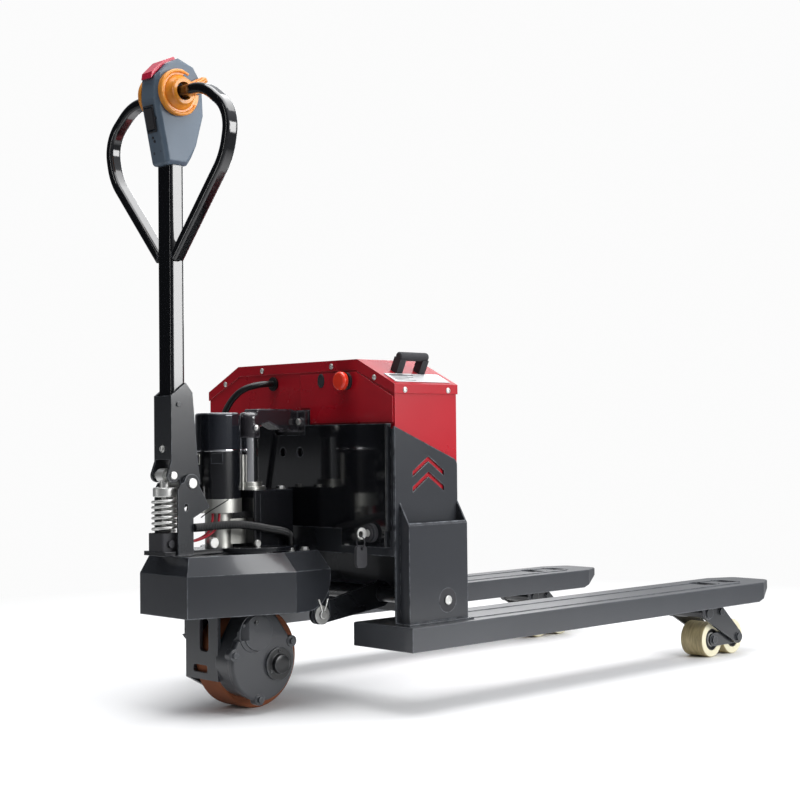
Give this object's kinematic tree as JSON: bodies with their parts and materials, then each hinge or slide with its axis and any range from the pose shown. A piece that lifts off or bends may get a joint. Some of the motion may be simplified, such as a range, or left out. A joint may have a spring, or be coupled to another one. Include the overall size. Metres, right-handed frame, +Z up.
{
  "type": "electric pallet truck",
  "caption": "Powered pallet truck with twin load forks, boxed battery body, steered drive wheel under a sheet guard, hydraulic ram and a sprung tiller with butterfly throttle.",
  "frame": {"origin": "middle of the footprint, on the floor", "axes": "+X to the fork tips, +Z up, +Y to the operator's left"},
  "size_m": [1.558, 0.685, 1.225],
  "materials": {
    "frame_grey": "gloss powder coat",
    "fork_grey": "satin powder coat",
    "cover_black": "high gloss",
    "box_red": "gloss powder coat",
    "bright_zinc": "zinc plated",
    "moulded_black": "moulded",
    "stop_red": "glossy",
    "battery_grey": "moulded",
    "rubber_black": "matt",
    "forging": "gloss over forging",
    "hard_chrome": "polished",
    "pump_black": "satin",
    "dark_chrome": "mirror",
    "bare_aluminium": "cast",
    "guard_grey": "satin powder coat",
    "bearing_steel": "ground",
    "foot_black": "moulded",
    "gear_grey": "painted casting",
    "drive_tread": "polyurethane",
    "tiller_black": "gloss",
    "head_grey": "moulded",
    "paddle_orange": "moulded",
    "button_crimson": "moulded",
    "linkage_grey": "satin",
    "roller_cream": "polyurethane"
  },
  "bodies": {
    "chassis": {"fork_left": "fork_grey", "fork_right": "fork_grey", "side_plates": "frame_grey", "side_bins": "frame_grey", "shaft_bushes": "moulded_black", "bulkhead": "frame_grey", "rear_panel": "frame_grey", "controller": "moulded_black", "front_cover": "cover_black", "key_lock": "bright_zinc", "battery_box": "box_red", "battery_lid": "box_red", "switch_panel": "box_red", "box_screws": "bright_zinc", "stop_base": "moulded_black", "cable_grommet": "rubber_black", "battery_handle": "moulded_black", "battery_pack": "battery_grey", "head_bracket": "forging", "ram": "hard_chrome", "main_cable": "rubber_black"},
    "key": {"key": "bright_zinc"},
    "key_fob": {"key_fob": "moulded_black"},
    "stop_button": {"stop_button": "stop_red"},
    "carriage": {"guard": "guard_grey", "carriage_plate": "guard_grey", "cable_gland": "rubber_black", "slewing_ring": "bearing_steel"},
    "drive_unit": {"turntable": "pump_black", "lift_cylinder": "pump_black", "oil_tank": "pump_black", "pump": "bare_aluminium", "pump_motor": "pump_black", "motor_cap": "dark_chrome", "tiller_posts": "guard_grey", "strut_foot": "foot_black", "tiller_spring": "bright_zinc", "gearbox_case": "gear_grey", "gearbox_cover": "gear_grey", "traction_motor": "gear_grey", "harness": "rubber_black"},
    "drive_wheel": {"wheel_hub": "gear_grey", "wheel_tyre": "drive_tread"},
    "tiller": {"tiller_cheeks": "guard_grey", "tiller_pins": "bright_zinc", "tiller_tube": "tiller_black", "handle_loops": "tiller_black", "tiller_head": "head_grey"},
    "strut": {"strut_rod": "bright_zinc"},
    "throttle": {"throttle": "paddle_orange"},
    "head_button": {"head_button": "button_crimson"},
    "rocker_switch": {"rocker_switch": "moulded_black"},
    "lift_rocker": {"lift_rocker": "linkage_grey"},
    "push_rods": {"push_rods": "linkage_grey"},
    "roller_arms": {"roller_arms": "linkage_grey"},
    "bogies": {"bogies": "linkage_grey"},
    "roller_front_left": {"roller_front_left": "roller_cream"},
    "roller_front_right": {"roller_front_right": "roller_cream"},
    "roller_rear_left": {"roller_rear_left": "roller_cream"},
    "roller_rear_right": {"roller_rear_right": "roller_cream"}
  },
  "joints": [
    {"name": "lift", "type": "slide", "parent": "chassis", "child": "carriage", "axis": [0, 0, -1], "range_m": [-0.08, 0.03], "deforming": ["main_cable"]},
    {"name": "steer", "type": "hinge", "parent": "carriage", "child": "drive_unit", "pos_m": [-0.546, 0, 0.285], "axis": [0, 0, 1], "range_deg": [-85, 85]},
    {"name": "wheel_spin", "type": "hinge", "parent": "drive_unit", "child": "drive_wheel", "pos_m": [-0.556, 0, 0.095], "axis": [0, 1, 0], "continuous": true},
    {"name": "tiller_tilt", "type": "hinge", "parent": "drive_unit", "child": "tiller", "pos_m": [-0.709, 0, 0.432], "axis": [0, -1, 0], "range_deg": [0, 75], "stiffness_Nm_per_rad": 24, "springref_deg": -34.38, "deforming": ["tiller_spring"]},
    {"name": "strut_swing", "type": "hinge", "parent": "tiller", "child": "strut", "pos_m": [-0.743, 0, 0.447], "axis": [0, -1, 0], "range_deg": [-80, 1]},
    {"name": "throttle_turn", "type": "hinge", "parent": "tiller", "child": "throttle", "pos_m": [-0.729, 0, 1.155], "axis": [0, 1, 0], "range_deg": [-22, 22], "stiffness_Nm_per_rad": 0.8},
    {"name": "head_button_press", "type": "slide", "parent": "tiller", "child": "head_button", "axis": [0.7193, 0, -0.6947], "range_m": [0, 0.004], "stiffness_N_per_m": 900, "springref_m": -0.002},
    {"name": "rocker_tilt", "type": "hinge", "parent": "tiller", "child": "rocker_switch", "pos_m": [-0.7686, 0, 1.105], "axis": [0, 1, 0], "range_deg": [-8, 8], "stiffness_Nm_per_rad": 0.2},
    {"name": "stop_press", "type": "slide", "parent": "chassis", "child": "stop_button", "axis": [1, 0, 0], "range_m": [0, 0.004], "stiffness_N_per_m": 900, "springref_m": -0.002},
    {"name": "key_turn", "type": "hinge", "parent": "chassis", "child": "key", "pos_m": [-0.455, -0.238, 0.335], "axis": [1, 0, 0], "range_deg": [0, 90]},
    {"name": "fob_hang", "type": "hinge", "parent": "key", "child": "key_fob", "pos_m": [-0.472, -0.238, 0.3262], "axis": [1, 0, 0], "range_deg": [-91, 1]},
    {"name": "lift_shaft", "type": "hinge", "parent": "chassis", "child": "lift_rocker", "pos_m": [-0.32, 0, 0.205], "axis": [0, -1, 0], "range_deg": [-28.96, 11.17]},
    {"name": "rod_slide", "type": "slide", "parent": "chassis", "child": "push_rods", "axis": [1, 0, 0], "range_m": [-0.027, 0.01044]},
    {"name": "arm_swing", "type": "hinge", "parent": "chassis", "child": "roller_arms", "pos_m": [0.529, 0, 0.106], "axis": [0, 1, 0], "range_deg": [-35.22, 13.52]},
    {"name": "bogie_swing", "type": "hinge", "parent": "roller_arms", "child": "bogies", "pos_m": [0.656, 0, 0.04], "axis": [0, -1, 0], "range_deg": [-35.22, 13.52]},
    {"name": "front_roll_left", "type": "hinge", "parent": "bogies", "child": "roller_front_left", "pos_m": [0.572, 0.2625, 0.04], "axis": [0, 1, 0], "continuous": true},
    {"name": "rear_roll_left", "type": "hinge", "parent": "roller_arms", "child": "roller_rear_left", "pos_m": [0.656, 0.2625, 0.04], "axis": [0, 1, 0], "continuous": true},
    {"name": "front_roll_right", "type": "hinge", "parent": "bogies", "child": "roller_front_right", "pos_m": [0.572, -0.2625, 0.04], "axis": [0, 1, 0], "continuous": true},
    {"name": "rear_roll_right", "type": "hinge", "parent": "roller_arms", "child": "roller_rear_right", "pos_m": [0.656, -0.2625, 0.04], "axis": [0, 1, 0], "continuous": true}
  ],
  "couplings": [
    {"joint": "lift_shaft", "follows": "lift", "rad_per_m": 6.2094},
    {"joint": "rod_slide", "follows": "lift", "ratio": 0.33126},
    {"joint": "arm_swing", "follows": "lift", "rad_per_m": 7.5743},
    {"joint": "bogie_swing", "follows": "lift", "rad_per_m": 7.5743},
    {"joint": "strut_swing", "follows": "tiller_tilt", "ratio": -1.05},
    {"joint": "fob_hang", "follows": "key_turn", "ratio": -1}
  ]
}
